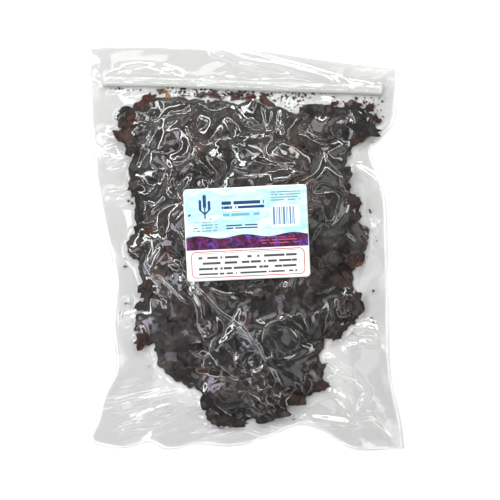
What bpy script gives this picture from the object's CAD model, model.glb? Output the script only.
"""The looks of a pouch of dried dulse: crumpled fronds and crumbs under clear film, and a label."""

import math

import bmesh
import bpy
import numpy as np
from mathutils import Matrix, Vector


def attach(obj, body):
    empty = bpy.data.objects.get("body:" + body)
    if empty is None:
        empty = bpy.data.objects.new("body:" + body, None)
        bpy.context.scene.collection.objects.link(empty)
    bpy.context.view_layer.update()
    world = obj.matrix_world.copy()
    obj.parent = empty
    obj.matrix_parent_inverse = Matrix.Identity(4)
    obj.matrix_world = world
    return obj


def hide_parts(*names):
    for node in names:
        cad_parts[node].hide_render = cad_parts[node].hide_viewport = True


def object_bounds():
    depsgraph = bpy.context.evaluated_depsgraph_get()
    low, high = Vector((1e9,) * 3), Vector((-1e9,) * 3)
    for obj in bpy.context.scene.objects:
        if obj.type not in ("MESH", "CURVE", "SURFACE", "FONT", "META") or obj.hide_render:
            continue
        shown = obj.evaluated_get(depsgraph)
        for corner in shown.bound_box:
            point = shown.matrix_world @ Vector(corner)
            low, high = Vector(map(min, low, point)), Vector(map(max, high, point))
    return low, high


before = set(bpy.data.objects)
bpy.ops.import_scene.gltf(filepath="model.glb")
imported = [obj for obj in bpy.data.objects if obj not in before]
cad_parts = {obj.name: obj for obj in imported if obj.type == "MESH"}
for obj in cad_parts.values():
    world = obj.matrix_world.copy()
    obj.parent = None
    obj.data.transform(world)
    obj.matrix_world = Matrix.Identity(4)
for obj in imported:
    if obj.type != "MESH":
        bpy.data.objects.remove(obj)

MM = 0.001
cad_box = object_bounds()

# Sizes of the real things.
FILM_THICKNESS = 0.12 * MM
FROND_THICKNESS = 0.3 * MM
LABEL_SIZE = (101.6 * MM, 76.2 * MM)
LABEL_THICKNESS = 0.25 * MM
LABEL_CORNER = 3.0 * MM
LABEL_TURN = math.radians(2.6)

# Spacing of the points that the fine surfaces are made of.
FINE = 1.36 * MM
COARSE = 4.0 * MM
SHARP_ANGLE = math.radians(50)
SEED = 11


# Height fields on a square grid

class Grid:
    """A square grid of points that covers the pouch, and ways to read heights on it."""

    def __init__(self, box, step, margin):
        self.step = step
        self.low = np.array(box[0][:2]) - margin
        size = np.ceil((np.array(box[1][:2]) + margin - self.low) / step).astype(int) + 1
        self.shape = tuple(size)
        lines = [low + step * np.arange(count) for low, count in zip(self.low, size)]
        self.x, self.y = np.meshgrid(*lines, indexing="ij")

    def heights(self, triangles, highest=True):
        """The height of a set of triangles over each point, and NaN where there are none."""
        found = np.full(self.shape, -np.inf if highest else np.inf)
        better = np.maximum if highest else np.minimum
        flat = (triangles[:, :, :2] - self.low) / self.step
        for (a, b, c), (za, zb, zc) in zip(flat, triangles[:, :, 2]):
            area = (b[0] - a[0]) * (c[1] - a[1]) - (b[1] - a[1]) * (c[0] - a[0])
            if abs(area) < 1e-9:
                continue
            first = np.ceil(np.minimum(np.minimum(a, b), c) - 1e-6).astype(int)
            last = np.floor(np.maximum(np.maximum(a, b), c) + 1e-6).astype(int)
            i, j = np.meshgrid(*(np.arange(start, end + 1) for start, end in zip(first, last)), indexing="ij")
            wb = ((i - a[0]) * (c[1] - a[1]) - (j - a[1]) * (c[0] - a[0])) / area
            wc = ((b[0] - a[0]) * (j - a[1]) - (b[1] - a[1]) * (i - a[0])) / area
            within = (wb > -1e-6) & (wc > -1e-6) & (wb + wc < 1 + 1e-6)
            i, j = i[within], j[within]
            z = za + wb[within] * (zb - za) + wc[within] * (zc - za)
            found[i, j] = better(found[i, j], z)
        found[np.isinf(found)] = np.nan
        return found

    def read(self, field, x, y):
        """The field at any places, smoothly between the grid's points."""
        nearest, weights = [], []
        for at, low, size in ((x, self.low[0], self.shape[0]), (y, self.low[1], self.shape[1])):
            at = np.clip((at - low) / self.step, 1, size - 2.001)
            first = at.astype(int)
            t = at - first
            nearest.append(first)
            weights.append(((1 - t) ** 3, 4 + t * t * (3 * t - 6), 1 + 3 * t * (1 + t - t * t), t**3))
        total = 0.0
        for a, in_x in enumerate(weights[0]):
            for b, in_y in enumerate(weights[1]):
                total = total + in_x * in_y / 36 * field[nearest[0] + a - 1, nearest[1] + b - 1]
        return total


def spread(field, times):
    """Carries a field's edge values outwards into its NaN places, one step of the grid at a time."""
    field = field.copy()
    for _ in range(times):
        empty = np.isnan(field)
        if not empty.any():
            break
        around = np.stack([np.roll(field, shift, axis) for axis in (0, 1) for shift in (1, -1)])
        known = ~np.isnan(around)
        total = np.where(known, around, 0).sum(axis=0)
        field = np.where(empty & known.any(axis=0), total / np.maximum(known.sum(axis=0), 1), field)
    return field


def blurred(field, radius):
    """The field smoothed over a radius given in grid steps."""
    reach = max(1, int(math.ceil(2.5 * radius)))
    weights = np.exp(-0.5 * (np.arange(-reach, reach + 1) / radius) ** 2)
    weights /= weights.sum()
    for axis in (0, 1):
        padded = np.pad(field, [(reach, reach) if k == axis else (0, 0) for k in (0, 1)], mode="edge")
        size = field.shape[axis]
        field = sum(weight * np.take(padded, range(k, k + size), axis) for k, weight in enumerate(weights))
    return field


def around_mean(field):
    """The mean of the four points round each point."""
    padded = np.pad(field, 1, mode="edge")
    return (padded[2:, 1:-1] + padded[:-2, 1:-1] + padded[1:-1, 2:] + padded[1:-1, :-2]) / 4


def rise(t):
    """A smooth step from 0 to 1."""
    t = np.clip(t, 0, 1)
    return t * t * (3 - 2 * t)


NOISE_CELLS = 64


def noise(x, y, size, seed):
    """Smooth noise from about -1 to 1, with lumps of the given size."""
    turn = np.random.default_rng(seed).uniform(0, 2 * np.pi, (NOISE_CELLS, NOISE_CELLS))
    u, v = x / size, y / size
    i, j = np.floor(u).astype(int), np.floor(v).astype(int)
    u, v = u - i, v - j
    fade_u, fade_v = (t**3 * (t * (t * 6 - 15) + 10) for t in (u, v))

    def corner(di, dj):
        angle = turn[(i + di) % NOISE_CELLS, (j + dj) % NOISE_CELLS]
        return np.cos(angle) * (u - di) + np.sin(angle) * (v - dj)

    near = corner(0, 0) * (1 - fade_u) + corner(1, 0) * fade_u
    far = corner(0, 1) * (1 - fade_u) + corner(1, 1) * fade_u
    return 1.5 * (near * (1 - fade_v) + far * fade_v)


def ridged(x, y, size, seed):
    """Noise from 0 to 1 whose crests are sharp."""
    return 1 - np.minimum(np.abs(noise(x, y, size, seed)) * 1.6, 1)


def warped(x, y, size, amount, seed):
    """The places, each shifted a little by noise."""
    return x + amount * noise(x, y, size, seed), y + amount * noise(x, y, size, seed + 1)


def away_from(x, y, a, b):
    """How far each place lies from the line from a to b."""
    along = ((x - a[0]) * (b[0] - a[0]) + (y - a[1]) * (b[1] - a[1])) / ((b - a) ** 2).sum()
    along = np.clip(along, 0, 1)
    return np.hypot(x - a[0] - along * (b[0] - a[0]), y - a[1] - along * (b[1] - a[1]))


def turned(x, y, along, across, turn):
    """The places that lie this far along and across from (x, y), in axes turned by an angle."""
    cos, sin = math.cos(turn), math.sin(turn)
    return x + along * cos - across * sin, y + along * sin + across * cos


def depth_inside(x, y, outline):
    """How far each place lies inside a closed outline, and less than 0 outside it."""
    nearest = np.full(x.shape, np.inf)
    within = np.zeros(x.shape, bool)
    for a, b in zip(outline, np.roll(outline, -1, axis=0)):
        nearest = np.minimum(nearest, away_from(x, y, a, b))
        passes = (a[1] > y) != (b[1] > y)
        within ^= passes & (x < a[0] + (y - a[1]) * (b[0] - a[0]) / ((b[1] - a[1]) or 1.0))
    return np.where(within, nearest, -nearest)


def crease_net(x, y, cell, seed):
    """Each place's distance from the nearest edge of a random cell pattern, and that edge's random number."""
    drawn = np.random.default_rng(seed)
    jitter = drawn.uniform(0.08, 0.92, (NOISE_CELLS, NOISE_CELLS, 2))
    key = drawn.uniform(0, 1, (NOISE_CELLS, NOISE_CELLS))
    u, v = x / cell, y / cell
    i, j = np.floor(u).astype(int), np.floor(v).astype(int)
    seeds, keys = [], []
    for di in range(-2, 3):
        for dj in range(-2, 3):
            ci, cj = (i + di) % NOISE_CELLS, (j + dj) % NOISE_CELLS
            seeds.append(np.stack([i + di + jitter[ci, cj, 0], j + dj + jitter[ci, cj, 1]], axis=-1))
            keys.append(key[ci, cj])
    seeds, keys = np.stack(seeds), np.stack(keys)
    here = np.stack([u, v], axis=-1)
    nearest = np.argmin(((seeds - here) ** 2).sum(axis=-1), axis=0)
    own = np.take_along_axis(seeds, nearest[None, ..., None], axis=0)[0]
    own_key = np.take_along_axis(keys, nearest[None], axis=0)[0]
    across = seeds - own
    length = np.sqrt((across**2).sum(axis=-1))
    length[length < 1e-9] = np.inf
    away = np.abs(((here - (seeds + own) / 2) * across).sum(axis=-1)) / length
    away[np.isinf(length)] = np.inf
    other = np.argmin(away, axis=0)
    away = np.take_along_axis(away, other[None], axis=0)[0] * cell
    other_key = np.take_along_axis(keys, other[None], axis=0)[0]
    return away, (own_key + other_key) * 7.31 % 1


# The frame's own surfaces

def points_of(mesh):
    places = np.zeros(len(mesh.vertices) * 3)
    mesh.vertices.foreach_get("co", places)
    return places.reshape(-1, 3)


def triangles_of(node):
    """A CAD node's triangles, those that face up and those that face down."""
    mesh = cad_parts[node].data
    mesh.calc_loop_triangles()
    picks = np.zeros(len(mesh.loop_triangles) * 3, int)
    mesh.loop_triangles.foreach_get("vertices", picks)
    corners = points_of(mesh)[picks].reshape(-1, 3, 3)
    normal = np.cross(corners[:, 1] - corners[:, 0], corners[:, 2] - corners[:, 0])
    upright = normal[:, 2] / np.maximum(np.linalg.norm(normal, axis=1), 1e-15)
    return corners[upright > 0.2], corners[upright < -0.2]


def rim_of(node):
    """The outline of a CAD sheet seen from above, as points in order."""
    made = bmesh.new()
    made.from_mesh(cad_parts[node].data)
    bmesh.ops.remove_doubles(made, verts=made.verts, dist=1e-6)
    made.normal_update()
    bmesh.ops.delete(made, geom=[face for face in made.faces if face.normal.z < 0.2], context="FACES")
    edge = next(edge for edge in made.edges if edge.is_boundary)
    start = here = edge.verts[0]
    points = []
    while True:
        points.append(here.co.copy())
        here = edge.other_vert(here)
        if here == start:
            break
        edge = next(other for other in here.link_edges if other.is_boundary and other != edge)
    made.free()
    points = np.array(points)
    area = np.sum(points[:, 0] * np.roll(points[:, 1], -1) - points[:, 1] * np.roll(points[:, 0], -1))
    return points if area > 0 else points[::-1]


def smooth_run(points):
    """A smooth curve through the points, as a function of the share of its length."""
    length = np.concatenate([[0], np.cumsum(np.linalg.norm(np.diff(points, axis=0), axis=1))])
    slope = np.gradient(points, length, axis=0)

    def curve(share):
        at = np.asarray(share) * length[-1]
        i = np.clip(np.searchsorted(length, at) - 1, 0, len(length) - 2)
        span = length[i + 1] - length[i]
        t = ((at - length[i]) / span)[..., None]
        span = span[..., None]
        start = (1 + 2 * t) * (1 - t) ** 2 * points[i] + t * (1 - t) ** 2 * span * slope[i]
        return start + t * t * (3 - 2 * t) * points[i + 1] + t * t * (t - 1) * span * slope[i + 1]

    return curve


class Outline:
    """The pouch's outline: four smooth edges between its corners, and the points of a net stretched in it."""

    def __init__(self, node):
        rim = rim_of(node)[:, :2]
        corners = [np.argmax(rim @ np.array(way)) for way in ((-1, -1), (1, -1), (1, 1), (-1, 1))]
        rim = np.roll(rim, -corners[0], axis=0)
        corners = [(corner - corners[0]) % len(rim) for corner in corners] + [len(rim)]
        rim = np.vstack([rim, rim[:1]])
        runs = [rim[a : b + 1] for a, b in zip(corners, corners[1:])]
        self.bottom, self.right = smooth_run(runs[0]), smooth_run(runs[1])
        self.top, self.left = smooth_run(runs[2][::-1]), smooth_run(runs[3][::-1])

    def net(self, step):
        """Points (x, y) in columns and rows about one step apart."""
        size = cad_box[1] - cad_box[0]
        shares = [np.linspace(0, 1, int(length / step) + 1) for length in (size.x, size.y)]
        u, v = np.meshgrid(*shares, indexing="ij")
        a, b = u[..., None], v[..., None]
        sides = (1 - b) * self.bottom(u) + b * self.top(u) + (1 - a) * self.left(v) + a * self.right(v)
        corners = (
            (1 - a) * (1 - b) * self.bottom(0.0)
            + a * (1 - b) * self.bottom(1.0)
            + (1 - a) * b * self.top(0.0)
            + a * b * self.top(1.0)
        )
        return sides - corners


# Making objects

def add_mesh(name, points, faces, materials=()):
    mesh = bpy.data.meshes.new(name)
    mesh.from_pydata([tuple(point) for point in points], [], [tuple(face) for face in faces])
    mesh.update()
    mesh.shade_smooth()
    for material in materials:
        mesh.materials.append(material)
    made = bpy.data.objects.new(name, mesh)
    bpy.context.scene.collection.objects.link(made)
    return made


def set_attribute(piece, name, values):
    """Stores one number for each point of a piece, for its material to read."""
    stored = piece.data.attributes.new(name, "FLOAT", "POINT")
    stored.data.foreach_set("value", np.asarray(values, np.float32).ravel())


def net_faces(columns, rows):
    """The quads of a net of points whose number is column * rows + row."""
    column, row = np.meshgrid(np.arange(columns - 1), np.arange(rows - 1), indexing="ij")
    first = (column * rows + row).ravel()
    return np.stack([first, first + rows, first + rows + 1, first + 1], axis=1)


def thicken(piece, thickness, offset=-1.0):
    """Gives a sheet its thickness, below it at offset -1 and above it at offset 1."""
    wall = piece.modifiers.new("thickness", "SOLIDIFY")
    wall.thickness = thickness
    wall.offset = offset


def finish_sharp(piece):
    """Applies a piece's modifiers, and keeps its steep edges sharp."""
    depsgraph = bpy.context.evaluated_depsgraph_get()
    finished = bpy.data.meshes.new_from_object(piece.evaluated_get(depsgraph))
    piece.modifiers.clear()
    piece.data = finished
    finished.set_sharp_from_angle(angle=SHARP_ANGLE)


def on_pouch(piece, slot, *nodes):
    """Says what a piece rides on, which finish it takes and which solids of the frame it stands for."""
    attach(piece, "root")
    if nodes:
        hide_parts(*nodes)


# Materials

FILM_COLOUR = (0.97, 0.98, 0.98, 1.0)
RIPPLE_SIZE = 9 * MM
RIPPLE_DEPTH = 0.25 * MM
WRINKLE_SIZE = 25 * MM
WRINKLE_DEPTH = 22 * MM
# The border's fine folds: how deep and wide they are, their stretch from side to side, and their slope.
FAN_DEPTH = 13 * MM
FAN_SIZE = 10 * MM
FAN_STRETCH = 0.045
FAN_SLOPE = 0.28
SCRAP_SIZE = 13 * MM


class Tree:
    """Short ways to add shader nodes."""

    def __init__(self, name):
        self.material = bpy.data.materials.new(name)
        self.material.use_nodes = True
        self.nodes = self.material.node_tree.nodes
        self.links = self.material.node_tree.links
        self.shader = self.nodes["Principled BSDF"]

    def put(self, value, socket):
        """Sets a socket to a number or a colour, or links another node's output to it."""
        if isinstance(value, bpy.types.NodeSocket):
            self.links.new(value, socket)
        else:
            socket.default_value = value

    def set(self, **values):
        for name, value in values.items():
            self.put(value, self.shader.inputs[name.replace("_", " ")])

    def node(self, kind, **settings):
        made = self.nodes.new(kind)
        for name, value in settings.items():
            setattr(made, name, value)
        return made

    def math(self, operation, *values):
        made = self.node("ShaderNodeMath", operation=operation)
        for value, socket in zip(values, made.inputs):
            self.put(value, socket)
        return made.outputs[0]

    def mix(self, share, first, second, blend="MIX"):
        made = self.node("ShaderNodeMix", data_type="RGBA", blend_type=blend)
        self.put(share, made.inputs["Factor"])
        self.put(first, made.inputs["A"])
        self.put(second, made.inputs["B"])
        return made.outputs["Result"]

    def grey(self, value):
        """A grey of this value."""
        made = self.node("ShaderNodeCombineColor")
        for socket in made.inputs:
            self.put(value, socket)
        return made.outputs[0]

    def between(self, value, low, high):
        """0 where the value is at most low, 1 where it is at least high, and smooth between."""
        made = self.node("ShaderNodeMapRange", interpolation_type="SMOOTHSTEP")
        self.put(value, made.inputs["Value"])
        made.inputs["From Min"].default_value = low
        made.inputs["From Max"].default_value = high
        return made.outputs["Result"]

    def place(self):
        return self.node("ShaderNodeTexCoord").outputs["Object"]

    def attribute(self, name):
        return self.node("ShaderNodeAttribute", attribute_name=name).outputs["Fac"]

    def mapped(self, place, scale, turn=0.0):
        """The place scaled along each axis and turned."""
        made = self.node("ShaderNodeMapping")
        self.put(place, made.inputs["Vector"])
        made.inputs["Scale"].default_value = scale
        made.inputs["Rotation"].default_value = (0, 0, turn)
        return made.outputs["Vector"]

    def split(self, vector):
        made = self.node("ShaderNodeSeparateXYZ")
        self.put(vector, made.inputs[0])
        return made.outputs

    def joined(self, x, y):
        made = self.node("ShaderNodeCombineXYZ")
        self.put(x, made.inputs["X"])
        self.put(y, made.inputs["Y"])
        return made.outputs[0]

    def noise(self, place, size, detail=2.0, roughness=0.5, distortion=0.0, output="Fac", **settings):
        """Noise from 0 to 1 with lumps of the given size in metres."""
        made = self.node("ShaderNodeTexNoise", **settings)
        self.put(place, made.inputs["Vector"])
        made.inputs["Scale"].default_value = 1 / size
        made.inputs["Detail"].default_value = detail
        made.inputs["Roughness"].default_value = roughness
        made.inputs["Distortion"].default_value = distortion
        return made.outputs[output]

    def cells(self, place, size, feature):
        """Irregular cells of the given size in metres."""
        made = self.node("ShaderNodeTexVoronoi", feature=feature)
        self.put(place, made.inputs["Vector"])
        made.inputs["Scale"].default_value = 1 / size
        return made

    def bump(self, height, distance, strength=1.0):
        made = self.node("ShaderNodeBump")
        self.put(height, made.inputs["Height"])
        made.inputs["Distance"].default_value = distance
        self.put(strength, made.inputs["Strength"])
        self.put(made.outputs["Normal"], self.shader.inputs["Normal"])


def film_tree(name, reflects, roughness):
    """Clear film: it lets light straight through, and mirrors a small share of it."""
    tree = Tree(name)
    tree.set(Base_Color=FILM_COLOUR, Metallic=1.0, Roughness=roughness, Alpha=reflects)
    return tree


def film_material(name, reflects, roughness, ripples=RIPPLE_DEPTH):
    """Clear film with faint ripples."""
    tree = film_tree(name, reflects, roughness)
    tree.bump(tree.noise(tree.place(), RIPPLE_SIZE, 1.0), ripples)
    return tree.material


def wrinkled_film(name, reflects, roughness):
    """Clear film drawn into soft wrinkles over the pile, deeper where the film's own "busy" is higher."""
    tree = film_tree(name, reflects, roughness)
    waves = tree.noise(tree.mapped(tree.place(), (1, 1, 0)), WRINKLE_SIZE, 0.8, 0.45, 0.9)
    busy = tree.attribute("busy")
    tree.bump(waves, WRINKLE_DEPTH, busy)
    calm = tree.math("MULTIPLY_ADD", tree.between(busy, 0.2, 0.6), 0.7 * reflects, 0.3 * reflects)
    tree.set(Alpha=calm)
    return tree.material


def fanned_film(name, reflects, roughness):
    """Clear film beside the pile, in fine folds that fan out to both sides where its "busy" is high."""
    tree = film_tree(name, reflects, roughness)
    x, y = tree.split(tree.place())[:2]
    along = tree.math("MULTIPLY", x, FAN_STRETCH)
    across = tree.math("MULTIPLY_ADD", tree.math("ABSOLUTE", x), FAN_SLOPE, y)
    folds = tree.noise(tree.joined(along, across), FAN_SIZE, 1.0, 0.5, 0.3)
    tree.bump(folds, FAN_DEPTH, tree.attribute("busy"))
    return tree.material


def frond_material():
    """Dried dulse: matt charcoal, browner where it is thin, dark in its folds, with a little salt."""
    tree = Tree("dried_dulse")
    place = tree.place()
    patches = tree.noise(place, 11 * MM, 3.0, 0.6, 0.6)
    smudges = tree.noise(place, 4.5 * MM, 3.0, 0.6, 1.6)
    wrinkled = tree.noise(place, 9 * MM, 3.0, 0.5, 0.8, noise_type="RIDGED_MULTIFRACTAL")
    grain = tree.noise(place, 1.1 * MM, 3.0, 0.6)
    shifted = tree.node("ShaderNodeVectorMath", operation="MULTIPLY_ADD")
    tree.put(tree.noise(place, 8 * MM, 3.0, 0.6, output="Color"), shifted.inputs[0])
    shifted.inputs[1].default_value = (14 * MM, 14 * MM, 14 * MM)
    tree.put(place, shifted.inputs[2])
    cells = tree.cells(shifted.outputs[0], SCRAP_SIZE, "F1")
    gaps = tree.cells(shifted.outputs[0], SCRAP_SIZE, "DISTANCE_TO_EDGE")
    scrap = tree.node("ShaderNodeSeparateColor")
    tree.put(cells.outputs["Color"], scrap.inputs[0])
    tone = tree.math("ADD", tree.attribute("tone"), tree.math("MULTIPLY_ADD", scrap.outputs[0], 0.9, -0.45))
    colour = tree.mix(tree.between(patches, 0.35, 0.65), (0.022, 0.020, 0.0195, 1), (0.066, 0.059, 0.055, 1))
    blush = tree.mix(tree.between(patches, 0.4, 0.6), (0.090, 0.024, 0.017, 1), (0.140, 0.050, 0.032, 1))
    salt = tree.math("MULTIPLY", tree.between(grain, 0.5, 0.72), tree.between(patches, 0.5, 0.62))
    shade = tree.math("MULTIPLY_ADD", scrap.outputs[1], 0.75, 0.5)
    for share, over, blend in (
        (tree.between(tone, 0.2, 1.0), (0.066, 0.039, 0.031, 1), "MIX"),
        (tree.between(tone, 1.0, 2.0), blush, "MIX"),
        (tree.between(tone, 2.2, 3.0), (0.30, 0.17, 0.045, 1), "MIX"),
        (tree.math("MULTIPLY", salt, 0.5), (0.125, 0.115, 0.110, 1), "MIX"),
        (tree.between(smudges, 0.3, 0.7), (0.55, 0.53, 0.53, 1), "MULTIPLY"),
        (1.0, tree.grey(shade), "MULTIPLY"),
        (tree.between(gaps.outputs["Distance"], 0.09, 0.0), (0.010, 0.009, 0.009, 1), "MIX"),
        (tree.attribute("hollow"), (0.008, 0.007, 0.007, 1), "MIX"),
    ):
        colour = tree.mix(share, colour, over, blend)
    tree.set(Base_Color=colour, Roughness=0.42, Specular_IOR_Level=0.28)
    tree.bump(tree.math("ADD", wrinkled, tree.math("MULTIPLY", grain, 0.35)), 0.8 * MM)
    return tree.material


def zip_plastic():
    """The zip's stiff milky plastic, with faint streaks along it from the die that it was drawn through."""
    tree = Tree("zip_plastic")
    drawn = tree.noise(tree.mapped(tree.place(), (0.05, 1.0, 1.0)), 0.5 * MM, 2.0)
    tree.set(Base_Color=tree.mix(drawn, (0.54, 0.55, 0.53, 1), (0.58, 0.59, 0.57, 1)), Roughness=0.6)
    tree.bump(drawn, 0.05 * MM)
    return tree.material


# The pile of fronds

FROND_NODES = sorted(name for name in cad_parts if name.startswith("frond_"))
MARGIN = 12 * MM
# The fine fronds lie this share of their solids' height, and torn pieces lie in the room that is left on top.
SQUEEZE = 0.78
# At the pile's edge it is this part of that, and it grows to the whole at this depth, on a leaf's scale.
EDGE_SQUEEZE = 0.45
EDGE_DEPTH = 4.5
CLEARANCE = 0.15 * MM
# How much the depth inside a leaf's outline grows over one step of the grid.
DEPTH_SCALE = 0.25
# The pile's ragged edge as seen from above, in millimetres.
PILE_EDGE = [
    (-107, 111), (-104, 116), (-99, 117), (-97, 113), (-92, 115), (-86, 118), (-80, 121), (-72, 123),
    (-64, 123), (-54, 124), (-46, 121), (-40, 122), (-32, 119), (-20, 121), (-8, 118), (0, 120), (7, 122),
    (14, 118), (20, 114), (28, 115), (36, 112), (44, 109), (48, 112), (52, 118), (60, 119), (69, 119),
    (76, 117), (86, 117), (96, 116), (100, 112), (107, 108), (108, 104), (110, 100), (107, 96), (100, 90),
    (94, 87), (88, 84), (89, 78), (85, 75), (83, 67), (86, 62), (87, 50), (84, 46), (93, 41), (96, 35),
    (93, 31), (96, 25), (92, 18), (101, 15), (101, 4), (100, -6), (101, -12), (95, -15), (89, -19),
    (90, -34), (89, -40), (95, -41), (98, -46), (96, -55), (90, -62), (83, -69), (80, -77), (68, -77),
    (66, -83), (60, -89), (61, -95), (67, -100), (63, -108), (69, -116), (66, -120), (53, -122), (49, -129),
    (40, -131), (32, -131), (36, -138), (27, -142), (20, -145), (9, -142), (1, -142), (0, -149),
    (-18, -149), (-28, -147), (-31, -138), (-35, -125), (-41, -114), (-54, -113), (-62, -106), (-68, -100),
    (-74, -88), (-73, -78), (-80, -80), (-86, -85), (-90, -76), (-86, -62), (-84, -53), (-90, -50),
    (-83, -44), (-82, -32), (-86, -22), (-88, -12), (-95, -8), (-97, 3), (-95, 9), (-86, 11), (-89, 17),
    (-90, 28), (-90, 42), (-96, 50), (-94, 62), (-92, 80), (-98, 85), (-107, 91), (-103, 96), (-104, 104),
]
# Torn pieces at the pile's edge and beside it: middle, length and width in millimetres, turn and tone.
# Tone runs from 0, charcoal, through 1, brown, and 2, red-brown, to 3, amber.
TORN_AT_EDGE = [
    (-79, 123, 13, 10, 8, 1.9), (-68, 130, 9, 4, -8, 2.6), (-64, 126, 5, 5, 20, 3.0),
    (-88, 117, 15, 8, 40, 1.2), (-100, 113, 12, 8, 25, 0.4), (-97, 104, 17, 12, 70, 1.3),
    (-98, 91, 22, 11, -28, 1.5), (-92, 83, 16, 12, 60, 0.3), (18, 121, 16, 6, -35, 1.5),
    (-22, 125, 12, 4, -8, 1.7), (-8, 124, 9, 4, 20, 1.3), (-37, 126, 8, 4, 10, 1.6), (6, 124, 8, 5, 5, 1.8),
    (75, 121, 8, 8, 5, 1.8), (91, 118, 15, 8, -14, 2.0), (48, 113, 9, 6, 75, 1.2),
    (62, 113, 30, 11, -16, 0.25), (94, 112, 24, 8, -22, 0.3), (107, 107, 13, 6, -25, 1.4),
    (112, 105, 6, 4, 10, 1.7), (104, 116, 9, 7, 30, 1.3), (100, 98, 26, 13, -16, 0.1),
    (94, 88, 12, 6, 15, 1.5), (85, 60, 13, 8, 80, 0.2), (85, 50, 9, 8, 20, 0.4), (90, 39, 16, 11, -35, 1.0),
    (93, 25, 10, 8, 15, 0.6), (94, 7, 24, 16, 85, 0.3), (91, -11, 20, 12, -25, 1.1),
    (92, -48, 22, 14, 80, 0.2), (76, -70, 20, 12, 35, 0.9), (91, -63, 4, 3, 30, 1.6),
    (63, -101, 11, 8, 70, 0.6), (64, -115, 13, 9, 10, 1.0), (43, -126, 18, 9, -12, 1.1),
    (28, -138, 18, 8, -5, 0.2), (18, -143, 18, 7, 3, 0.3), (-15, -144, 32, 9, -3, 0.5),
    (-30, -128, 18, 11, 75, 0.1), (-53, -105, 32, 18, -20, 0.6), (-65, -94, 22, 16, -50, 0.5),
    (-85, -77, 16, 12, 60, 1.3), (-79, -62, 24, 16, 10, 0.2), (-86, -49, 10, 8, 15, 0.3),
    (-90, 0, 21, 15, 80, 0.9), (-86, 15, 12, 9, 20, 0.4), (-79, 14, 8, 7, 30, 1.9),
    (-92, 51, 18, 9, 80, 0.1), (-82, -34, 18, 11, 80, 0.4), (-85, 33, 24, 12, 85, 0.2),
    (-91, 68, 20, 8, 82, 0.4),
]
# A torn piece narrower than this is a flat flake.
FLAKE_WIDTH = 15
TORN_INSIDE = 95
TORN_LENGTH = (20 * MM, 60 * MM)
TORN_SHAPE = (0.32, 0.72)
TORN_TONES = [0.0, 0.2, 0.5, 0.9, 1.25]
TORN_CHANCES = [0.30, 0.22, 0.2, 0.21, 0.07]


def crumple(x, y, seed):
    """How high a frond lies in its room, from 0 to 1: broad lumps with sharp folds between them."""
    wx, wy = warped(x, y, 16 * MM, 3 * MM, seed)
    broad = 0.5 + 0.5 * noise(wx, wy, 17 * MM, seed + 3)
    away, key = crease_net(wx, wy, 12 * MM, seed + 5)
    folds = np.where(key < 0.6, 1, -0.6) * np.maximum(1 - away / (5 * MM), 0)
    small = ridged(wx, wy, 5 * MM, seed + 7)
    return np.clip(0.22 + 0.36 * broad + 0.34 * folds + 0.18 * small, 0.0, 1.0)


class Leaf:
    """A piece of frond on the grid: the cells that it covers, and how high it lies."""

    def __init__(self, grid, window, inside):
        self.step, self.window, self.inside = grid.step, window, inside
        self.x, self.y = grid.x[window], grid.y[window]
        corners = inside[:-1, :-1] + inside[1:, 1:] + inside[1:, :-1] + inside[:-1, 1:]
        self.kept = self.biggest_part(corners > 0)
        self.used = np.zeros(self.x.shape, bool)
        for di in (0, 1):
            for dj in (0, 1):
                self.used[di : self.used.shape[0] - 1 + di, dj : self.used.shape[1] - 1 + dj] |= self.kept

    @staticmethod
    def biggest_part(cells):
        """The largest group of these cells that hold together along their sides."""
        left = set(zip(*np.nonzero(cells)))
        best = []
        while left:
            group = [left.pop()]
            for i, j in group:
                for near in ((i + 1, j), (i - 1, j), (i, j + 1), (i, j - 1)):
                    if near in left:
                        left.remove(near)
                        group.append(near)
            best = max(best, group, key=len)
        kept = np.zeros(cells.shape, bool)
        if best:
            kept[tuple(np.array(best).T)] = True
        return kept

    def drawn_to_edge(self):
        """The points' places, with those round the edge moved onto the edge itself."""
        x, y = self.x.copy(), self.y.copy()
        full = np.zeros(self.x.shape, bool)
        full[1:-1, 1:-1] = self.kept[1:, 1:] & self.kept[:-1, 1:] & self.kept[1:, :-1] & self.kept[:-1, :-1]
        edge = self.used & ~full
        gx, gy = np.gradient(self.inside, self.step)
        steep = np.maximum(gx**2 + gy**2, 1e-9)
        shift = np.stack([-self.inside * gx / steep, -self.inside * gy / steep])
        far = np.maximum(np.hypot(*shift) / (0.6 * self.step), 1)
        x[edge] += (shift[0] / far)[edge]
        y[edge] += (shift[1] / far)[edge]
        return x, y

    def cover(self, ground):
        """Raises the ground to this leaf where it lies."""
        here = ground[self.window]
        here[self.used] = np.maximum(here, self.z)[self.used]

    def mesh(self):
        """Its points, its quads as numbers of those points, and each point's tone and depth in a fold."""
        number = np.full(self.used.shape, -1)
        number[self.used] = np.arange(self.used.sum())
        x, y = self.drawn_to_edge()
        points = np.stack([x, y, self.z], axis=-1)[self.used]
        i, j = np.nonzero(self.kept)
        faces = np.stack([number[i, j], number[i + 1, j], number[i + 1, j + 1], number[i, j + 1]], axis=1)
        hollow = rise((blurred(self.z, 2.6) - self.z) / (0.5 * MM))
        return points, faces, self.tone[self.used], np.maximum(0.95 * hollow, self.dark)[self.used]


def edge_of_pile(grid):
    """How far each place lies inside the pile's edge, on the scale that a leaf's own outline has."""
    return DEPTH_SCALE * depth_inside(grid.x, grid.y, np.array(PILE_EDGE, float) * MM) / grid.step


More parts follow.
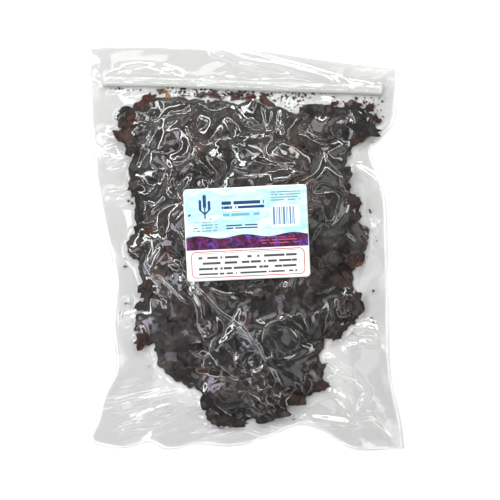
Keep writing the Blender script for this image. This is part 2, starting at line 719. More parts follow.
class Frond(Leaf):
    """A whole frond, which lies in its CAD solid's own room."""

    def __init__(self, grid, node, rim, table, seed):
        up, down = triangles_of(node)
        high, low = grid.heights(up), grid.heights(down, highest=False)
        covered = ~np.isnan(high)
        rows, columns = np.nonzero(covered)
        reach = 6
        window = tuple(slice(min(at) - reach, max(at) + reach + 1) for at in (rows, columns))
        x, y = grid.x[window], grid.y[window]
        teeth = 0.2 * noise(x, y, 7 * MM, seed) + 0.16 * noise(x, y, 3.2 * MM, seed + 1)
        outline = blurred(covered[window].astype(float), 1.7) - 0.42
        super().__init__(grid, window, np.minimum(outline, rim[window] + 0.2) + teeth)
        low, high = spread(low[window], 2 * reach), spread(high[window], 2 * reach)
        low = np.where(np.isnan(low), np.nanmean(low), low)
        high = np.where(np.isnan(high), np.nanmean(high), high)
        room = high - low - FROND_THICKNESS
        height = blurred(low, 0.8) + FROND_THICKNESS + room * crumple(x, y, seed + 20)
        squeeze = SQUEEZE * (EDGE_SQUEEZE + (1 - EDGE_SQUEEZE) * rise(rim[window] / EDGE_DEPTH))
        self.z = table[window] + FILM_THICKNESS + squeeze * (height - table[window] - FILM_THICKNESS)
        brown = np.random.default_rng(seed).uniform(0, 0.7)
        self.tone = brown + 0.4 * noise(x, y, 15 * MM, seed + 2)
        self.dark = 0.3 * (1 - rise(0.5 + noise(x, y, 12 * MM, seed + 3)))


def torn_outline(drawn, corners, uneven, reach, along, across):
    """The corners of a torn scrap: points at uneven angles and distances round an oval."""
    ways = (np.arange(corners) + drawn.uniform(-uneven, uneven, corners)) * 2 * math.pi / corners
    reaches = drawn.uniform(*reach, corners)
    return along * reaches * np.cos(ways), across * reaches * np.sin(ways)


class TornPiece(Leaf):
    """A torn piece of frond, laid on what is under it."""

    def __init__(self, grid, x, y, length, width, turn, tone, seed, rim=None):
        drawn = np.random.default_rng(seed)
        reach = int(0.62 * length / grid.step) + 6
        middle = [int(round((at - low) / grid.step)) for at, low in zip((x, y), grid.low)]
        ends = [(max(at - reach, 0), min(at + reach, most - 1)) for at, most in zip(middle, grid.shape)]
        window = tuple(slice(*pair) for pair in ends)
        px, py = grid.x[window], grid.y[window]
        along, across = torn_outline(drawn, drawn.integers(7, 12), 0.32, (0.56, 1.25), length / 2, width / 2)
        outline = np.stack(turned(x, y, along, across, turn), axis=1)
        inside = DEPTH_SCALE * depth_inside(px, py, outline) / grid.step
        ragged = min(1.0, width / (12 * MM))
        torn = 0.34 * noise(px, py, 7 * MM, seed + 1) + 0.24 * noise(px, py, 3.4 * MM, seed + 2)
        inside = inside + ragged * torn + 0.1 * noise(px, py, 2.2 * MM, seed + 3)
        if rim is not None:
            inside = np.minimum(inside, rim[window] + 0.3 * noise(px, py, 3 * MM, seed + 4))
        super().__init__(grid, window, inside)
        self.seed = seed
        self.tone = tone + 0.25 * noise(px, py, 8 * MM, seed + 5)
        self.dark = drawn.uniform(0, 0.55) * (0.6 + 0.5 * noise(px, py, 10 * MM, seed + 7))

    def lie_on(self, ground, relief, curl):
        """Drapes the piece: it bridges hollows, crumples a little, and curls up at its edge."""
        lowest = ground[self.window] + FROND_THICKNESS + CLEARANCE
        z = lowest.copy()
        for _ in range(26):
            z = np.maximum(lowest, around_mean(z) - 0.02 * MM)
        z = np.maximum(blurred(z, 0.8), lowest)
        z = z + relief * (crumple(self.x, self.y, self.seed + 6) - 0.45)
        z = z + curl * rise(1 - self.inside / 0.6) * rise(0.5 + noise(self.x, self.y, 14 * MM, self.seed + 9))
        self.z = np.maximum(z, lowest)


def long_folds(x, y):
    """Folds that run on from one piece to the next, because the whole pile was pressed together."""
    wx, wy = warped(x, y, 24 * MM, 7 * MM, SEED + 80)
    away, key = crease_net(wx, wy, 20 * MM, SEED + 82)
    folds = np.where(key < 0.65, 1, -0.4) * np.maximum(1 - away / (6 * MM), 0) ** 1.2
    return 1.8 * MM * folds + 1.0 * MM * ridged(wx, wy, 9 * MM, SEED + 84) ** 2


def torn_pieces(grid, ground, rim, covered):
    """The torn pieces on the pile: first where no frond lies, then all over it, and last at its edge."""
    drawn = np.random.default_rng(SEED + 3)
    inside = rim > 0.3
    ground += np.maximum(long_folds(grid.x, grid.y), 0) * rise((rim - 0.3) / 1.5) * covered
    pieces, middles = [], []

    def lay(piece, relief, curl):
        piece.lie_on(ground, relief, curl)
        piece.cover(ground)
        covered[piece.window] |= piece.used
        pieces.append(piece)

    for number in range(TORN_INSIDE):
        bare = inside & ~covered
        if bare.sum() > 25:
            choice = np.argwhere(bare)[drawn.integers(bare.sum())]
        else:
            tries = np.argwhere(inside)[drawn.integers(inside.sum(), size=12)]
            spots = np.array([(grid.x[tuple(at)], grid.y[tuple(at)]) for at in tries])
            apart = [min((np.hypot(*(spot - at)) for at in middles), default=1) for spot in spots]
            choice = tries[int(np.argmax(apart))]
        x, y = grid.x[tuple(choice)], grid.y[tuple(choice)]
        middles.append((x, y))
        length = drawn.uniform(*TORN_LENGTH)
        width = length * drawn.uniform(*TORN_SHAPE)
        tone = drawn.choice(TORN_TONES, p=TORN_CHANCES)
        turn = drawn.uniform(0, math.pi)
        piece = TornPiece(grid, x, y, length, width, turn, tone, SEED + 1000 + 20 * number, rim)
        if piece.used.sum() >= 12:
            lay(piece, drawn.uniform(0.3, 1.1) * MM, drawn.uniform(0.0, 1.2) * MM)
    for number, (x, y, length, width, turn, tone) in enumerate(TORN_AT_EDGE):
        if width < FLAKE_WIDTH:
            continue
        size = (1.1 * length * MM, 1.1 * width * MM)
        seed = SEED + 9000 + 20 * number
        piece = TornPiece(grid, x * MM, y * MM, *size, math.radians(turn), tone, seed)
        if piece.used.sum() >= 4:
            lay(piece, min(1.0, 0.07 * width) * MM, 0.3 * MM)
    return pieces


def add_flakes(grid, ground, look):
    """The small pieces at the pile's edge: flat flakes with angular outlines."""
    drawn = np.random.default_rng(SEED + 7)
    points, faces, tones = [], [], []
    for x, y, length, width, turn, tone in TORN_AT_EDGE:
        if width >= FLAKE_WIDTH:
            continue
        corners = int(drawn.integers(8, 12) + 0.8 * width)
        half = (length * MM / 2, width * MM / 2)
        along, across = torn_outline(drawn, corners, 0.3, (0.66, 1.28), *half)
        px, py = turned(x * MM, y * MM, along, across, math.radians(turn))
        z = grid.read(ground, px, py).max() + 2 * FROND_THICKNESS + 0.12 * across
        faces.append(tuple(range(len(tones), len(tones) + corners)))
        points.append(np.stack([px, py, z], axis=-1))
        tones += [tone] * corners
    piece = add_mesh("dulse_flakes", np.vstack(points), faces, [look])
    set_attribute(piece, "tone", tones)
    thicken(piece, FROND_THICKNESS)
    finish_sharp(piece)
    on_pouch(piece, "frond")


def add_leaves(name, leaves, look, *nodes):
    """One object of leaves that take the same finish."""
    points, faces, tones, hollows, count = [], [], [], [], 0
    for leaf in leaves:
        some_points, some_faces, tone, hollow = leaf.mesh()
        points.append(some_points)
        faces.append(some_faces + count)
        tones.append(tone)
        hollows.append(hollow)
        count += len(some_points)
    piece = add_mesh(name, np.vstack(points), np.vstack(faces), [look])
    set_attribute(piece, "tone", np.concatenate(tones))
    set_attribute(piece, "hollow", np.concatenate(hollows))
    thicken(piece, FROND_THICKNESS)
    finish_sharp(piece)
    on_pouch(piece, "frond", *nodes)


# The film

TIGHTNESS = 0.012 * MM
SUCTION = 0.16 * MM
SEAL_WIDTH = 10 * MM
FILM_GAP = 0.6 * MM
PUFF = 3.2 * MM
FILM_ROUNDS = 200
FILM_SMOOTHNESS = 4.6
FILM_LIFT = 0.6 * MM
# The border's folds are these many times as high and wide as their rows say, and no higher than this share of
# their half width, which is the steepness that catches the low lights.
FOLD_HEIGHT = 2.1
FOLD_WIDTH = 1.6
FOLD_STEEPNESS = 0.66
# Where the film beside the pile is folded: middle and reach in millimetres, and how deep the folds are.
FANS = [
    (-80, -132, 62, 24, 0.6), (90, -128, 44, 30, 0.3), (100, -74, 22, 12, 0.4), (-102, -62, 18, 16, 0.8),
    (-92, 145, 42, 7, 0.9), (20, 152, 90, 12, 0.25), (-106, 82, 14, 20, 0.9), (-104, 41, 14, 9, 0.9),
    (112, 95, 16, 14, 0.7), (112, 30, 14, 40, 0.4), (0, -155, 70, 10, 0.5), (-40, 127, 70, 7, 0.6),
    (40, 124, 60, 8, 0.6),
]
# Where the film over the pile is calm: middle and reach, in millimetres.
CALM = [(80, -8, 30, 34), (-62, -84, 24, 40), (92, 100, 20, 14), (0, 11, 56, 44), (30, -45, 34, 12)]
# Long ridges that the film is pinched into over the pile: the points that each runs through, in millimetres.
RIDGES = [
    [(65, 82), (68, 72), (75, 65), (80, 58), (82, 50), (85, 44), (89, 38)],
    [(-70, 3), (-74, -4), (-78, -10), (-83, -14), (-80, -20), (-76, -27), (-72, -30), (-72, -36), (-67, -42)],
    [(-73, -23), (-66, -30), (-60, -35), (-53, -42), (-45, -48)],
    [(-48, -26), (-38, -35), (-30, -43), (-22, -52), (-12, -59), (-2, -66), (6, -78), (13, -90)],
    [(-31, -32), (-22, -37), (-14, -39), (-7, -37)],
    [(14, -79), (17, -70), (20, -64), (26, -60)],
    [(8, -75), (13, -83), (18, -93), (23, -91), (22, -84)],
    [(-47, -85), (-40, -89), (-33, -91), (-29, -88), (-27, -80), (-21, -72)],
    [(-18, -98), (-19, -108), (-16, -117), (-9, -119)],
    [(55, -103), (60, -108), (63, -111), (62, -117)],
]
# Folds in the film's border: height and half width in millimetres, then the points that each runs through.
FOLDS = [
    (1.6, 2.4, [(-32, -121), (-68, -123), (-120, -132)]),
    (1.5, 2.2, [(-35, -134), (-67, -133), (-85, -141)]),
    (1.1, 2.0, [(-36, -131), (-62, -142), (-100, -150)]),
    (1.0, 1.8, [(-76, -131), (-68, -124)]),
    (1.2, 2.0, [(-99, -46), (-101, -59), (-99, -65)]),
    (1.4, 2.6, [(-86, -63), (-99, -68), (-108, -75)]),
    (1.5, 2.2, [(63, -93), (71, -94), (82, -103), (90, -105), (97, -112), (103, -120)]),
    (1.3, 2.0, [(82, -103), (75, -108), (69, -111)]),
    (1.6, 2.2, [(76, -122), (83, -129), (90, -141)]),
    (1.2, 2.0, [(103, -123), (97, -133), (92, -141)]),
    (1.4, 2.0, [(92, -142), (108, -139), (115, -146), (122, -154)]),
    (1.4, 2.2, [(50, -142), (72, -145), (91, -146)]),
    (1.6, 3.4, [(82, -77), (105, -67), (118, -81)]),
    (1.2, 2.4, [(85, -83), (96, -80), (108, -80)]),
    (1.0, 2.0, [(123, -154), (131, -147)]),
    (0.9, 2.2, [(48, -127), (72, -121)]),
    (2.6, 3.2, [(-23, 164), (5, 155), (23, 152), (63, 142), (79, 137)]),
    (1.4, 3.0, [(-105, 147), (-80, 146), (-56, 143)]),
    (1.2, 3.0, [(-121, 144), (-101, 143)]),
    (1.2, 3.0, [(95, 64), (116, 50)]),
    (1.0, 3.0, [(110, 18), (118, 6)]),
    (1.5, 4.0, [(-116, 91), (-97, 76)]),
    (1.3, 3.2, [(-110, 43), (-97, 40)]),
]


def fold_heights(x, y):
    """The height that the border's folds add at each point."""
    total = np.zeros(x.shape)
    for height, width, points in FOLDS:
        points = smooth_run(np.array(points, float) * MM)(np.linspace(0, 1, 9))
        away = np.min([away_from(x, y, a, b) for a, b in zip(points, points[1:])], axis=0)
        wide = FOLD_WIDTH * width * MM
        tall = min(FOLD_HEIGHT * height * MM, FOLD_STEEPNESS * wide)
        total = np.maximum(total, tall * np.exp(-((away / wide) ** 2)))
    return total


def film_heights(grid, ground, table, label):
    """The front film's heights, where it lies over the pile, and where it is steep beside the pile."""
    rim = rim_of("front_web")[:, :2]
    sealed = depth_inside(grid.x, grid.y, rim[::2])
    over_pile = rise(1.4 * blurred((ground > table + FROND_THICKNESS + CLEARANCE).astype(float), 3.0) - 0.3)
    loose = rise((sealed - 0.6 * SEAL_WIDTH) / (2 * SEAL_WIDTH)) * (1 - over_pile)
    puffs = PUFF * rise(0.4 + noise(grid.x, grid.y, 34 * MM, SEED + 60)) * loose
    base = blurred(table, 3.0) + FILM_THICKNESS + FILM_GAP * rise(sealed / SEAL_WIDTH) + 0.1 * MM
    zip_top = grid.heights(triangles_of("zip_tongue_strip")[0])
    zipped = ~np.isnan(zip_top)
    stations = zip_run("zip_tongue_strip")
    off_zip = np.abs(grid.y - np.interp(grid.x, stations[:, 0], stations[:, 1]))
    share = 0.45 + 0.55 * rise((4.6 * MM - off_zip) / (2.6 * MM))
    zip_bulge = np.where(zipped, (zip_top + CLEARANCE - base) * share, 0.0)
    under = base + np.maximum(np.maximum(blurred(zip_bulge, 2.0), zip_bulge), 0)
    at_zip = rise(2.0 * blurred(zipped.astype(float), 4.0))
    under = np.maximum(under, ground + 2 * CLEARANCE)
    height = under.copy()
    pull = TIGHTNESS + (SUCTION - TIGHTNESS) * (1 - over_pile) * (1 - at_zip)
    for _ in range(FILM_ROUNDS):
        height = np.maximum(under, around_mean(height) - pull)
    soft = blurred(height, FILM_SMOOTHNESS) + FILM_LIFT
    height = soft * over_pile + blurred(height, 0.9) * (1 - over_pile)
    for _ in range(3):
        height = height + 1.2 * blurred(np.maximum(under - height, 0), 3.2)
    slope = np.hypot(*np.gradient(height, grid.step))
    steep = ((slope > 0.3) & (over_pile < 0.97)).astype(float)
    height = height + puffs + fold_heights(grid.x, grid.y) * (1 - over_pile)
    return label.lie_on(height), over_pile, steep


def distance_from(grid, x, y, wide, tall):
    """Each place's distance from a middle, as a share of the reach across and up, all in millimetres."""
    return np.hypot((grid.x - x * MM) / (wide * MM), (grid.y - y * MM) / (tall * MM))


def busy_film(grid, over_pile):
    """How deep the film's wrinkles and fine folds are at each place."""
    busy = 0.68 + 0.5 * noise(grid.x, grid.y, 38 * MM, SEED + 48) + 0.4 * rise((grid.y - 5 * MM) / (70 * MM))
    for zone in CALM:
        busy = busy - 0.6 * rise(1.6 - 1.2 * distance_from(grid, *zone))
    border = np.full(grid.shape, 0.04)
    for *zone, most in FANS:
        border = np.maximum(border, most * rise(1.5 - 1.2 * distance_from(grid, *zone)))
    return np.clip(busy, 0.15, 1.0) * over_pile + border * (1 - over_pile)


def add_film(name, node, grid, height, outline, step, looks, *places, busy=None):
    """A sheet of film. Its finishes are for the middle, the side seals, and the given places in reverse."""
    flat = outline.net(step)
    x, y = flat[..., 0], flat[..., 1]
    points = np.stack([x, y, grid.read(height, x, y)], axis=-1)
    piece = add_mesh(name, points.reshape(-1, 3), net_faces(*x.shape), looks)
    middle = (flat[:-1, :-1] + flat[1:, 1:]) / 2
    to_side = np.minimum(middle[..., 0] - flat[:1, :-1, 0], flat[-1:, :-1, 0] - middle[..., 0])
    look = (to_side < SEAL_WIDTH).astype(np.int32)
    for number, place in enumerate(places):
        here = grid.read(place, middle[..., 0], middle[..., 1]) > 0.5
        look[here & (look != 1)] = len(looks) - 1 - number
    piece.data.polygons.foreach_set("material_index", look.ravel())
    if busy is not None:
        set_attribute(piece, "busy", grid.read(busy, x, y))
    thicken(piece, FILM_THICKNESS)
    on_pouch(piece, "film", node)


# Creases of the film

CREASE_STEP = 0.8 * MM
CREASE_WIDTH = 2.0 * MM
CREASE_STEEPNESS = 0.46
CREASE_END = 9 * MM
CREASE_OFFSETS = np.linspace(-1, 1, 11)
# The lines that the zip's ribs press into the film: how far each lies from the zip's middle, and their size.
ZIP_LINES = (-1.75 * MM, 1.75 * MM)
ZIP_LINE_WIDTH = 0.8 * MM
ZIP_LINE_STEEPNESS = 0.5
ZIP_LINE_END = 2 * MM


class Creases:
    """Creases that stand on the front film, as narrow sheets of film of their own."""

    def __init__(self, grid, film, label):
        self.grid, self.film, self.room = grid, blurred(film, 3.6) + 0.1 * MM, 1 - label.mask
        self.points, self.faces, self.count = [], [], 0

    def add_sheet(self, x, y, lift):
        """A net of points that lie this much above the film."""
        z = self.grid.read(self.film, x, y) + CLEARANCE + lift * self.grid.read(self.room, x, y)
        self.points.append(np.stack([x, y, z], axis=-1).reshape(-1, 3))
        self.faces.append(net_faces(*x.shape)[:, ::-1] + self.count)
        self.count += x.size

    def add_crease(self, points, width=CREASE_WIDTH, steepness=CREASE_STEEPNESS, end=CREASE_END):
        """A crease pinched up along a smooth line. It gets narrower and lower at both ends."""
        points = np.array(points, float)
        length = np.linalg.norm(np.diff(points, axis=0), axis=1).sum()
        shares = np.linspace(0, 1, 3 + int(length / CREASE_STEP))
        middle = smooth_run(points)(shares)
        way = np.gradient(middle, axis=0)
        way /= np.linalg.norm(way, axis=1)[:, None]
        size = width * (0.12 + 0.88 * rise(np.minimum(shares, 1 - shares) * length / end))[:, None]
        x = middle[:, :1] - way[:, 1:] * CREASE_OFFSETS * size
        y = middle[:, 1:] + way[:, :1] * CREASE_OFFSETS * size
        self.add_sheet(x, y, steepness * size * (1 - CREASE_OFFSETS**2))

    def add_all(self):
        """The long ridges over the pile, and the two fine lines along the zip."""
        for points in RIDGES:
            self.add_crease(np.array(points) * MM)
        run = smooth_run(zip_run("zip_tongue_strip")[:, :2])(np.linspace(0.005, 0.995, 30))
        for off in ZIP_LINES:
            self.add_crease(run + (0, off), ZIP_LINE_WIDTH, ZIP_LINE_STEEPNESS, ZIP_LINE_END)

    def finish(self, look):
        piece = add_mesh("film_creases", np.vstack(self.points), np.vstack(self.faces), [look])
        thicken(piece, FILM_THICKNESS / 2)
        on_pouch(piece, "film")


# The label

LABEL_MIDDLE = (2.0 * MM, 11.5 * MM)
LABEL_STEP = 1.3 * MM
LABEL_LIFT = 0.1 * MM


class Label:
    """A paper label stuck on the film."""

    def __init__(self, grid):
        self.grid = grid
        across, up = turned(0, 0, grid.x - LABEL_MIDDLE[0], grid.y - LABEL_MIDDLE[1], -LABEL_TURN)
        beyond = np.maximum(np.abs(across) - LABEL_SIZE[0] / 2, np.abs(up) - LABEL_SIZE[1] / 2)
        self.mask = rise(1 - beyond / (4 * MM))

    def lie_on(self, film):
        """Lays the label over the film's high places, and gives the film as the label draws it flat."""
        height = film.copy()
        for _ in range(14):
            height = np.maximum(film, blurred(height, 2.2) - 0.02 * MM)
        self.height = blurred(height, 1.5) + LABEL_LIFT
        self.height = np.maximum(self.height, film)
        return film + (self.height - film) * self.mask

    def add(self, look):
        half = np.array(LABEL_SIZE) / 2
        count = [int(2 * size / LABEL_STEP) + 1 for size in half]
        lines = [np.linspace(-size, size, number) for size, number in zip(half, count)]
        flat = np.stack(np.meshgrid(*lines, indexing="ij"), -1)
        inner = half - LABEL_CORNER
        over = np.clip((np.abs(flat) - inner) / LABEL_CORNER, 0, 1)
        rounded = over * np.sqrt(1 - over[..., ::-1] ** 2 / 2)
        flat = np.sign(flat) * (np.minimum(np.abs(flat), inner) + LABEL_CORNER * rounded)
        x, y = turned(*LABEL_MIDDLE, flat[..., 0], flat[..., 1], LABEL_TURN)
        z = self.grid.read(self.height, x, y) + LABEL_LIFT
        piece = add_mesh("paper_label", np.stack([x, y, z], -1).reshape(-1, 3), net_faces(*count), [look])
        uv = piece.data.uv_layers.new(name="print")
        picks = np.zeros(len(piece.data.loops), int)
        piece.data.loops.foreach_get("vertex_index", picks)
        shares = (flat.reshape(-1, 2) + half) / (2 * half)
        uv.data.foreach_set("uv", shares[picks].astype(np.float32).ravel())
        thicken(piece, LABEL_THICKNESS, 1.0)
        on_pouch(piece, "label_paper", "label")


class Print(Tree):
    """Marks on the label, in millimetres from its lower left corner."""

    def __init__(self, name):
        super().__init__(name)
        shares = self.node("ShaderNodeTexCoord").outputs["UV"]
        self.at = self.mapped(shares, (LABEL_SIZE[0] / MM, LABEL_SIZE[1] / MM, 1))
        self.x, self.y = self.split(self.at)[:2]

    def span(self, value, low, high):
        return self.both(self.math("GREATER_THAN", value, low), self.math("LESS_THAN", value, high))

    def both(self, first, second):
        return self.math("MULTIPLY", first, second)

    def box(self, left, low, right, high):
        return self.both(self.span(self.x, left, right), self.span(self.y, low, high))

    def rounded(self, left, low, right, high, corner):
        """A box with round corners."""
        away = []
        for value, a, b in ((self.x, left, right), (self.y, low, high)):
            off = self.math("ABSOLUTE", self.math("SUBTRACT", value, (a + b) / 2))
            over = self.math("MAXIMUM", self.math("SUBTRACT", off, (b - a) / 2 - corner), 0.0)
            away.append(self.math("MULTIPLY", over, over))
        return self.math("LESS_THAN", self.math("ADD", *away), corner * corner)

    def dashes(self, left, low, right, high, pitch, tall, size, seed):
        """Rows of short dashes of uneven length."""
        row = self.math("FLOOR", self.math("DIVIDE", self.y, pitch))
        within = self.math("SUBTRACT", self.math("DIVIDE", self.y, pitch), row)
        place = self.joined(self.math("DIVIDE", self.x, size), self.math("MULTIPLY_ADD", row, 7.3, seed))
        marks = self.math("GREATER_THAN", self.noise(place, 1.0, 1.0), 0.42)
        return self.both(self.both(marks, self.span(within, 0.0, tall)), self.box(left, low, right, high))

    def ink(self, share, colour, under):
        return self.mix(share, under, (*colour, 1.0))


WHITE = (0.90, 0.91, 0.90)
# The label's field and band in millimetres: left and right edge, then how low and how high each reaches.
FIELD = (0.6, 101.0)
FIELD_LOW, BAND_LOW, BAND_HIGH, FIELD_HIGH = 26.0, 25.6, 40.0, 75.6
# The upright stripes on the pale patch: how wide each is, and the gap after it.
STRIPES = [
    (1.6, 0.9), (0.5, 0.8), (0.5, 0.6), (1.1, 1.0), (0.5, 0.7), (1.7, 0.9), (0.6, 0.6), (0.5, 1.1),
    (1.3, 0.7), (0.5, 0.6), (0.9, 0.0),
]
STRIPES_LEFT, STRIPES_LOW, STRIPES_HIGH = 73.0, 44.0, 58.5
# Rows of dashes: left, low, right and high edge, pitch, share of it that is filled, length, seed and colour.
DASHES = [
    (10, 4.9, 91, 22.9, 4.5, 0.42, 4.6, 3.0, (0.06, 0.065, 0.075)),
    (72, 63, 96, 72, 2.2, 0.35, 2.6, 11.0, (0.16, 0.24, 0.30)),
    (7, 40.5, 27, 48.5, 2.4, 0.35, 2.4, 19.0, (0.16, 0.24, 0.30)),
    (31, 58.6, 66, 64.8, 6.2, 0.8, 5.2, 5.0, (0.010, 0.045, 0.14)),
    (31, 52.5, 62, 56.4, 4.0, 0.7, 5.8, 23.0, (0.14, 0.42, 0.62)),
    (34, 42.0, 60, 45.4, 3.4, 0.7, 3.6, 31.0, (0.02, 0.07, 0.17)),
    (62, 28.0, 92, 34.0, 2.4, 0.3, 3.0, 41.0, (0.55, 0.10, 0.16)),
]
# The sprig's stem and lobes, from its foot: left, low, right and high edge.
SPRIG = [(-0.6, 0, 0.6, 10), (-4.8, 7, -2.6, 16), (2.6, 7, 4.8, 15), (-1.4, 9, 1.4, 20)]


def label_material():
    """A generic label: an aqua field with light streaks, a violet band, and a white foot with a red rule."""
    art = Print("label_print")
    streaks = art.mapped(art.at, (0.045, 0.16, 1), 0.35)
    cloud = art.between(art.noise(streaks, 1.0, 3.0, 0.55, 0.8), 0.38, 0.66)
    sea = art.mix(cloud, (0.42, 0.74, 0.87, 1), (0.74, 0.90, 0.95, 1))
    mottle = art.noise(art.at, 4.5, 4.0, 0.7, 1.2)
    band = art.mix(art.between(mottle, 0.42, 0.62), (0.022, 0.004, 0.026, 1), (0.17, 0.012, 0.085, 1))
    blots = art.noise(art.at, 6.5, 3.0, 0.6, 0.8)
    band = art.mix(art.between(blots, 0.52, 0.64), band, (0.10, 0.05, 0.36, 1))
    wave = art.math("MULTIPLY_ADD", art.math("SINE", art.math("MULTIPLY", art.x, 0.16)), 1.3, 36.0)
    colour = art.mix(art.box(FIELD[0], FIELD_LOW, FIELD[1], FIELD_HIGH), (*WHITE, 1), sea)
    in_band = art.both(art.box(FIELD[0], BAND_LOW, FIELD[1], BAND_HIGH), art.math("LESS_THAN", art.y, wave))
    colour = art.mix(in_band, colour, band)
    colour = art.ink(art.rounded(4.0, 2.4, 97.6, 24.4, 4.5), (0.52, 0.05, 0.06), colour)
    colour = art.ink(art.rounded(4.75, 3.15, 96.85, 23.65, 3.8), WHITE, colour)
    colour = art.ink(art.rounded(71, 42, 95, 60, 1.0), (0.88, 0.92, 0.93), colour)
    left = STRIPES_LEFT
    for wide, gap in STRIPES:
        colour = art.ink(art.box(left, STRIPES_LOW, left + wide, STRIPES_HIGH), (0.09, 0.24, 0.44), colour)
        left += wide + gap
    for *place, ink in DASHES:
        colour = art.ink(art.dashes(*place), ink, colour)
    colour = art.ink(sprig(art, 17.0, 51.0), (0.012, 0.055, 0.17), colour)
    art.set(Base_Color=colour, Roughness=0.38)
    art.bump(art.noise(art.at, 3.0, 2.0), 0.03 * MM)
    return art.material


def sprig(art, x, y):
    """A plain forked sprig of seaweed: a stem and blunt lobes."""
    shape = 0.0
    for left, low, right, high in SPRIG:
        lobe = art.rounded(x + left, y + low, x + right, y + high, (right - left) / 2)
        shape = art.math("MAXIMUM", shape, lobe)
    arms = art.math("MULTIPLY_ADD", art.math("ABSOLUTE", art.math("SUBTRACT", art.x, x)), 0.9, y + 4.0)
    near = art.math("LESS_THAN", art.math("ABSOLUTE", art.math("SUBTRACT", art.y, arms)), 0.9)
    return art.math("MAXIMUM", shape, art.both(near, art.box(x - 4.4, y + 3, x + 4.4, y + 9)))


# The zip

# The back strip: half its width, its thickness, and its ribs' height, place and half width.
ZIP_SIDE = 4.0 * MM
ZIP_BASE = 0.35 * MM
ZIP_RIB_HEIGHT = 1.4 * MM
ZIP_RIB_OFF = 1.15 * MM
ZIP_RIB_HALF = 0.32 * MM
# The front strip, up from its solid's lowest point: the tongue's tip, with half its width, the strip's flat
# underside and its edges, and how far the flat part reaches to each side.
TONGUE_LOW = 0.3 * MM
TONGUE_HALF = 0.35 * MM
ROOF = 1.0 * MM
ROOF_SIDE = 0.45 * MM
ROOF_FLAT = 2.0 * MM


def zip_run(node):
    """The points along a zip strip's middle, at its lowest."""
    places = points_of(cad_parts[node].data)
    stations = []
    for x in np.unique(np.round(places[:, 0], 5)):
        ring = places[np.abs(places[:, 0] - x) < 2e-5]
        stations.append((x, (ring[:, 1].min() + ring[:, 1].max()) / 2, ring[:, 2].min()))
    return np.array(stations)


def arched(middle, half, low, high):
    """A rib's round-topped section, as points (across, up) from left to right."""
    turns = np.linspace(math.pi, 0, 9)
    top = [(middle + half * math.cos(turn), high - half + half * math.sin(turn)) for turn in turns]
    return [(middle - half, low), *top, (middle + half, low)]


def add_zip_strip(name, node, section, look):
    """One strip of the zip: a section, as points (across, up), drawn along the solid's own run."""
    run = smooth_run(zip_run(node))(np.linspace(0, 1, 120))
    ring = np.array(section)
    points = np.array([[(x, y + across, z + up) for across, up in ring] for x, y, z in run])
    count, size = len(run), len(ring)
    faces = [
        (a * size + b, a * size + (b + 1) % size, (a + 1) * size + (b + 1) % size, (a + 1) * size + b)
        for a in range(count - 1)
        for b in range(size)
    ]
    faces += [tuple(range(size))[::-1], tuple(range((count - 1) * size, count * size))]
    piece = add_mesh(name, points.reshape(-1, 3), faces, [look])
    shell = bmesh.new()
    shell.from_mesh(piece.data)
    bmesh.ops.recalc_face_normals(shell, faces=shell.faces)
    shell.to_mesh(piece.data)
    shell.free()
    on_pouch(piece, "zip_plastic", node)


def add_zip(look):
    """The zip: two ribs on the back strip, and between them the tongue that hangs from the front strip."""
    groove = [(-ZIP_SIDE, ZIP_BASE)]
    for off in (-ZIP_RIB_OFF, ZIP_RIB_OFF):
        groove += arched(off, ZIP_RIB_HALF, ZIP_BASE, ZIP_RIB_HEIGHT)
    groove += [(ZIP_SIDE, ZIP_BASE), (ZIP_SIDE, 0.0), (-ZIP_SIDE, 0.0)]
    add_zip_strip("zip_groove", "zip_groove_strip", groove, look)
    hanging = [(x, TONGUE_LOW + ROOF - up) for x, up in arched(0.0, TONGUE_HALF, TONGUE_LOW, ROOF)]
    thin = ROOF_SIDE + 0.5 * ZIP_BASE
    back = ROOF + ZIP_BASE
    tongue = [(-ZIP_SIDE, ROOF_SIDE), (-ROOF_FLAT, ROOF), *hanging, (ROOF_FLAT, ROOF), (ZIP_SIDE, ROOF_SIDE)]
    tongue += [(ZIP_SIDE, thin), (ROOF_FLAT, back), (-ROOF_FLAT, back), (-ZIP_SIDE, thin)]
    add_zip_strip("zip_tongue", "zip_tongue_strip", tongue, look)


# Crumbs

